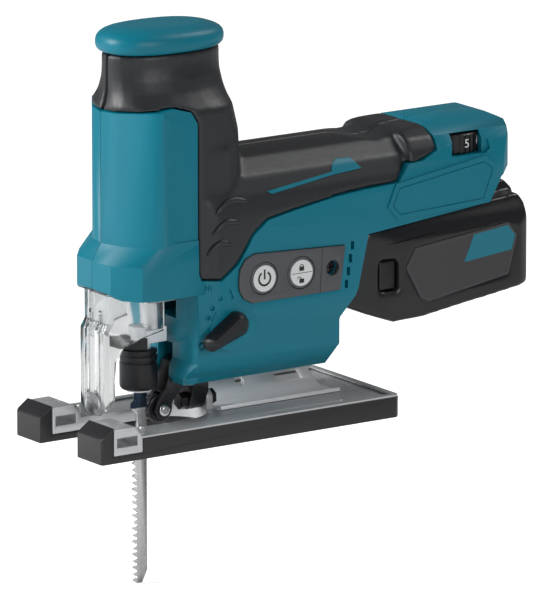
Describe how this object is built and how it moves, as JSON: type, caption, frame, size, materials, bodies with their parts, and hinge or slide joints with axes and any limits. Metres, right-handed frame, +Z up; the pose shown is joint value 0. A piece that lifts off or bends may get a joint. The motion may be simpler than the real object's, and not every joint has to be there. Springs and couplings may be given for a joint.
{
  "type": "cordless jigsaw",
  "caption": "Barrel-grip cordless jigsaw with a tilting base, reciprocating blade, roller guide, clear dust cover and slide-on battery.",
  "frame": {"origin": "on the sole of the base, at the middle of its length and width", "axes": "+Z up, -Y the cutting direction, +X the left side of the tool"},
  "size_m": [0.0788, 0.2665, 0.282],
  "materials": {
    "teal_plastic": "satin moulded glass-filled nylon",
    "soft_grip": "matt overmoulded elastomer",
    "black_plastic": "fine texture",
    "grey_plastic": "satin",
    "pale_plastic": "satin",
    "clear_plastic": "clear polycarbonate",
    "lens": "clear lens",
    "cast_aluminium": "blasted",
    "bright_steel": "ground",
    "dark_steel": "black oxide",
    "blade_steel": "ground, coated shank",
    "shoe_steel": "black powder coat",
    "bronze": "sintered",
    "copper": "wound and laminated",
    "circuit": "solder mask",
    "cell_wrap": "shrink film"
  },
  "bodies": {
    "housing": {"housing_left": "teal_plastic", "housing_right": "teal_plastic", "grip_left": "soft_grip", "grip_right": "soft_grip", "housing_screw_front": "dark_steel", "housing_screw_lower": "dark_steel", "housing_screw_tail": "dark_steel", "top_cap": "teal_plastic", "switch_panel": "grey_plastic", "panel_screw": "dark_steel", "switch_board": "circuit", "gear_housing": "cast_aluminium", "rod_bushing_lower": "bronze", "rod_bushing_upper": "bronze", "gear_shaft": "bright_steel", "stator": "copper", "motor_bearing_front": "bright_steel", "motor_bearing_rear": "bright_steel", "controller_board": "circuit", "terminal_block": "black_plastic", "dial_potentiometer": "black_plastic", "work_light": "lens", "arm_pivot_pin": "bright_steel", "bevel_bracket": "black_plastic"},
    "power_button": {"power_button": "pale_plastic"},
    "lock_button": {"lock_button": "pale_plastic"},
    "orbital_lever": {"orbital_lever": "black_plastic", "orbital_cam": "dark_steel"},
    "roller_arm": {"roller_arm": "dark_steel", "roller_pin": "bright_steel"},
    "roller": {"roller": "dark_steel"},
    "slider": {"slider_rod": "bright_steel", "yoke": "bright_steel", "blade_holder": "cast_aluminium", "blade": "blade_steel"},
    "clamp_sleeve": {"clamp_sleeve": "black_plastic", "release_lever": "black_plastic"},
    "gear": {"drive_gear": "bright_steel", "gear_bearing": "bright_steel", "crank_pin": "bright_steel", "crank_roller": "dark_steel", "counterweight": "dark_steel"},
    "rotor": {"rotor": "dark_steel", "pinion": "bright_steel", "fan": "black_plastic"},
    "base": {"base_plate": "cast_aluminium", "base_shoe": "shoe_steel", "bevel_saddle": "bright_steel", "bevel_bolt": "bright_steel"},
    "dust_cover": {"dust_cover": "clear_plastic"},
    "speed_dial": {"speed_dial": "black_plastic"},
    "battery": {"battery_case_upper": "black_plastic", "battery_case_lower": "black_plastic", "battery_label_plate": "black_plastic", "battery_cell_1": "cell_wrap", "battery_cell_2": "cell_wrap", "battery_cell_3": "cell_wrap"},
    "battery_latch_left": {"battery_latch_left": "black_plastic"},
    "battery_latch_right": {"battery_latch_right": "black_plastic"}
  },
  "joints": [
    {"name": "slider_stroke", "type": "slide", "parent": "housing", "child": "slider", "axis": [0, 0, 1], "range_m": [-0.0115, 0.0115]},
    {"name": "gear_spin", "type": "hinge", "parent": "housing", "child": "gear", "pos_m": [0, -0.019, 0.098], "axis": [0, 1, 0], "continuous": true},
    {"name": "rotor_spin", "type": "hinge", "parent": "housing", "child": "rotor", "pos_m": [0, 0.021, 0.073], "axis": [0, 1, 0], "continuous": true},
    {"name": "arm_swing", "type": "hinge", "parent": "housing", "child": "roller_arm", "pos_m": [0, -0.022, 0.032], "axis": [1, 0, 0], "range_deg": [0, 4]},
    {"name": "roller_spin", "type": "hinge", "parent": "roller_arm", "child": "roller", "pos_m": [0, -0.0304, 0.0134], "axis": [1, 0, 0], "continuous": true},
    {"name": "orbital_lever_turn", "type": "hinge", "parent": "housing", "child": "orbital_lever", "pos_m": [0, -0.0075, 0.0587], "axis": [1, 0, 0], "range_deg": [-70, 0]},
    {"name": "base_tilt", "type": "hinge", "parent": "housing", "child": "base", "pos_m": [0, -0.009, 0.015], "axis": [0, 1, 0], "range_deg": [-45, 45]},
    {"name": "dust_cover_slide", "type": "slide", "parent": "housing", "child": "dust_cover", "axis": [0, 0, 1], "range_m": [0, 0.015]},
    {"name": "speed_dial_turn", "type": "hinge", "parent": "housing", "child": "speed_dial", "pos_m": [0.0175, 0.135, 0.1315], "axis": [0, 0, 1], "range_deg": [-60, 240]},
    {"name": "power_button_press", "type": "slide", "parent": "housing", "child": "power_button", "axis": [-1, 0, 0], "range_m": [0, 0.0006], "stiffness_N_per_m": 800},
    {"name": "lock_button_press", "type": "slide", "parent": "housing", "child": "lock_button", "axis": [-1, 0, 0], "range_m": [0, 0.0006], "stiffness_N_per_m": 800},
    {"name": "clamp_turn", "type": "hinge", "parent": "slider", "child": "clamp_sleeve", "pos_m": [0, -0.042, 0.036], "axis": [0, 0, 1], "range_deg": [0, 30], "stiffness_Nm_per_rad": 0.05},
    {"name": "battery_slide", "type": "slide", "parent": "housing", "child": "battery", "axis": [0, 0.9954, 0.0958], "range_m": [0, 0.065]},
    {"name": "battery_latch_left_press", "type": "slide", "parent": "battery", "child": "battery_latch_left", "axis": [-1, 0, 0], "range_m": [0, 0.002], "stiffness_N_per_m": 600},
    {"name": "battery_latch_right_press", "type": "slide", "parent": "battery", "child": "battery_latch_right", "axis": [1, 0, 0], "range_m": [0, 0.002], "stiffness_N_per_m": 600}
  ],
  "couplings": [
    {"joint": "rotor_spin", "follows": "gear_spin", "ratio": -6.75}
  ]
}
